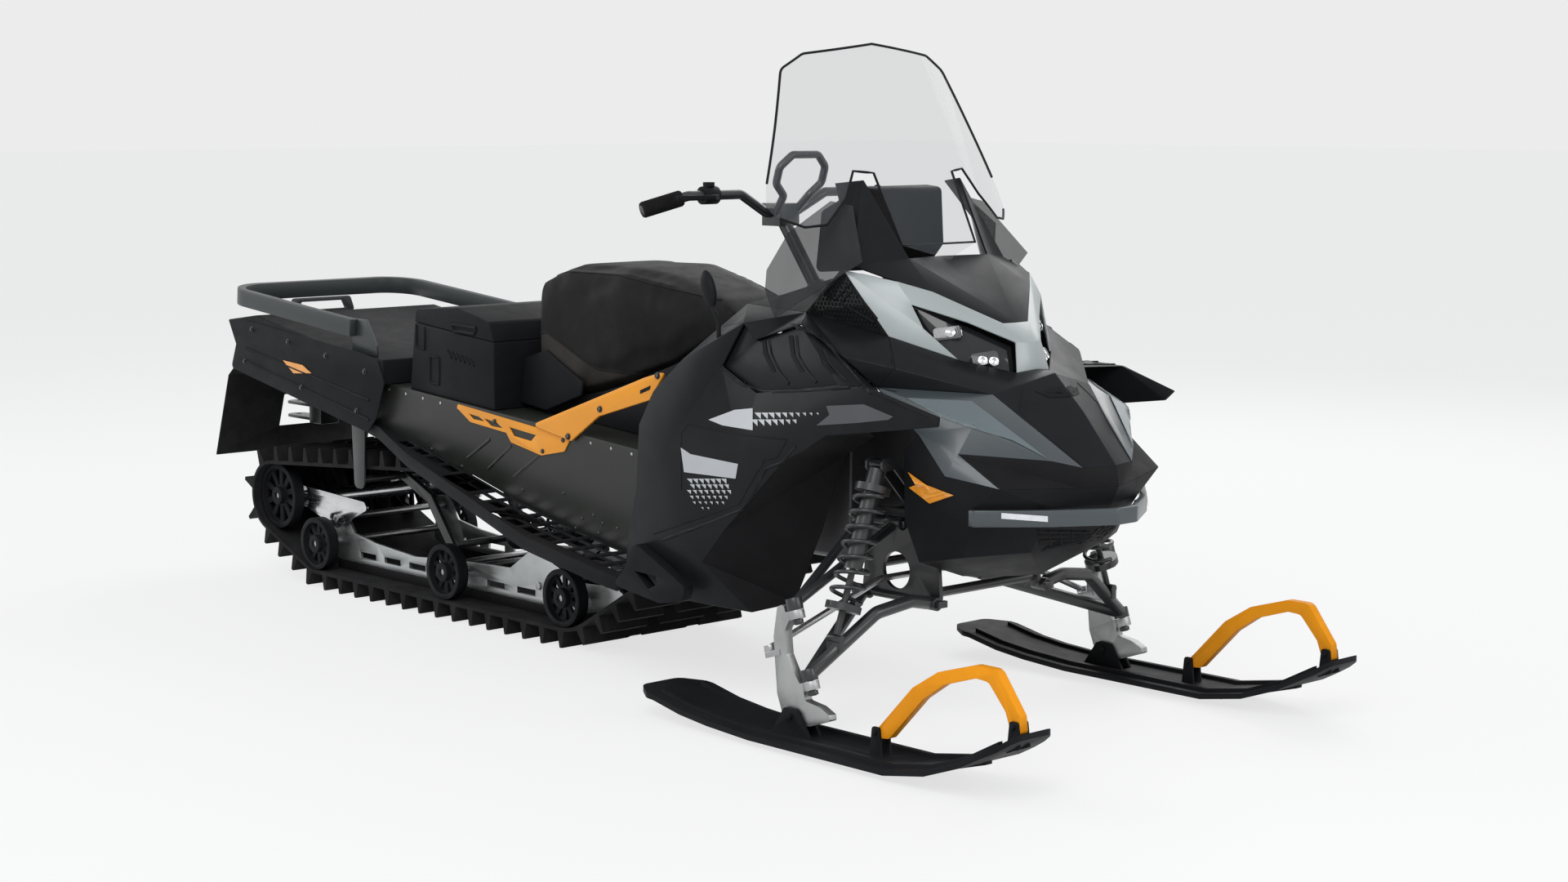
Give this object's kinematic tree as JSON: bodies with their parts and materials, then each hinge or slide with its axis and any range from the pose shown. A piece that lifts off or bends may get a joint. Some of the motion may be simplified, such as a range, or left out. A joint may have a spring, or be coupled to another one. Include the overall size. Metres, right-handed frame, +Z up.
{
  "type": "utility snowmobile",
  "caption": "Wide-track utility snowmobile with steered skis, coupled handlebar, sprung track skid, cargo box and rear rack.",
  "frame": {"origin": "on the ground, below the middle of the machine's length and width", "axes": "+X forward, towards the ski tips; +Y to the rider's left; +Z up"},
  "size_m": [3.303, 1.142, 1.426],
  "materials": {
    "track_rubber": "moulded rubber, matt",
    "rail_alloy": "satin",
    "black_plastic": "fine grain, matt",
    "steel": "satin",
    "polished_alloy": "polished",
    "black_steel": "powder coat",
    "damper_steel": "gloss",
    "tunnel_paint": "satin",
    "rack_paint": "satin",
    "flap_rubber": "matt",
    "red_lens": "gloss",
    "seat_cover": "grained cover",
    "orange_paint": "satin",
    "orange_plastic": "satin",
    "grey_paint": "satin",
    "light_grey_paint": "gloss",
    "slate_paint": "satin",
    "satin_black": "satin",
    "gloss_black": "gloss",
    "amber_lens": "gloss",
    "clear_lens": "clear",
    "smoked_lens": "smoked",
    "engine_alloy": "cast",
    "grip_rubber": "matt",
    "cast_alloy": "cast, fine grain",
    "ski_plastic": "satin"
  },
  "bodies": {
    "chassis": {"track": "track_rubber", "skid_rails": "rail_alloy", "slide_shoes": "black_plastic", "skid_cross_shafts": "steel", "idler_wheels": "black_plastic", "rear_axle_arm": "polished_alloy", "skid_arms": "black_steel", "skid_damper": "damper_steel", "drive_axle": "steel", "tunnel": "tunnel_paint", "suspension_hangers": "steel", "running_boards": "tunnel_paint", "tail_panels": "black_plastic", "rear_deck": "black_plastic", "rack_rail": "rack_paint", "snow_flap": "flap_rubber", "hitch": "black_steel", "tail_lamp": "red_lens", "cargo_box": "black_plastic", "seat_cushion": "seat_cover", "seat_base": "black_plastic", "seat_side_covers": "black_plastic", "frame_braces": "orange_paint", "tunnel_trims": "orange_paint", "suspension_arms": "black_steel", "front_dampers": "damper_steel", "hood": "satin_black", "lamp_surround": "light_grey_paint", "lamp_housings": "gloss_black", "visor": "gloss_black", "inlet_grilles": "black_plastic", "shoulder_panels": "satin_black", "vent_panels": "black_plastic", "side_panels": "satin_black", "wheel_bay_walls": "black_plastic", "nose_fairings": "slate_paint", "nose_intakes": "black_plastic", "belly_pan": "black_plastic", "console": "black_plastic", "front_bumper": "slate_paint", "marker_lenses": "amber_lens", "headlamps": "clear_lens", "windshield": "clear_lens", "side_deflectors": "smoked_lens", "engine_block": "engine_alloy", "front_frame": "black_steel", "steering_support": "black_steel", "steering_stays": "black_steel", "dash_gauge": "black_plastic"},
    "steering_bar": {"handlebar": "black_steel", "grips": "grip_rubber", "bar_controls": "black_plastic"},
    "spindle_right": {"knuckle_right": "cast_alloy"},
    "spindle_left": {"knuckle_left": "cast_alloy"},
    "link_bar": {"tie_rods": "steel"},
    "right_ski": {"ski_right": "ski_plastic", "ski_handle_right": "orange_plastic"},
    "left_ski": {"ski_left": "ski_plastic", "ski_handle_left": "orange_plastic"},
    "box_lid": {"cargo_lid": "black_plastic"}
  },
  "joints": [
    {"name": "steering", "type": "hinge", "parent": "chassis", "child": "steering_bar", "pos_m": [0.43, 0, 1.045], "axis": [-0.6018, 0, 0.7986], "range_deg": [-35, 35]},
    {"name": "steer_right", "type": "hinge", "parent": "chassis", "child": "spindle_right", "pos_m": [1.044, -0.486, 0.15], "axis": [-0.2998, 0, 0.954], "range_deg": [-28, 28]},
    {"name": "steer_left", "type": "hinge", "parent": "chassis", "child": "spindle_left", "pos_m": [1.044, 0.486, 0.15], "axis": [-0.2998, 0, 0.954], "range_deg": [-28, 28]},
    {"name": "tie_rod_slide", "type": "slide", "parent": "chassis", "child": "link_bar", "axis": [0, -1, 0], "range_m": [-0.05, 0.05]},
    {"name": "ski_pitch_right", "type": "hinge", "parent": "spindle_right", "child": "right_ski", "pos_m": [1.0071, -0.486, 0.0619], "axis": [0, 1, 0], "range_deg": [-15, 10]},
    {"name": "ski_pitch_left", "type": "hinge", "parent": "spindle_left", "child": "left_ski", "pos_m": [1.0071, 0.486, 0.0619], "axis": [0, 1, 0], "range_deg": [-15, 10]},
    {"name": "cargo_lid_hinge", "type": "hinge", "parent": "chassis", "child": "box_lid", "pos_m": [-0.482, 0.262, 0.7362], "axis": [-0.9959, 0, 0.0903], "range_deg": [0, 95]}
  ],
  "couplings": [
    {"joint": "steer_right", "follows": "steering", "ratio": 0.8},
    {"joint": "steer_left", "follows": "steering", "ratio": 0.8},
    {"joint": "tie_rod_slide", "follows": "steering", "m_per_rad": 0.0804}
  ]
}
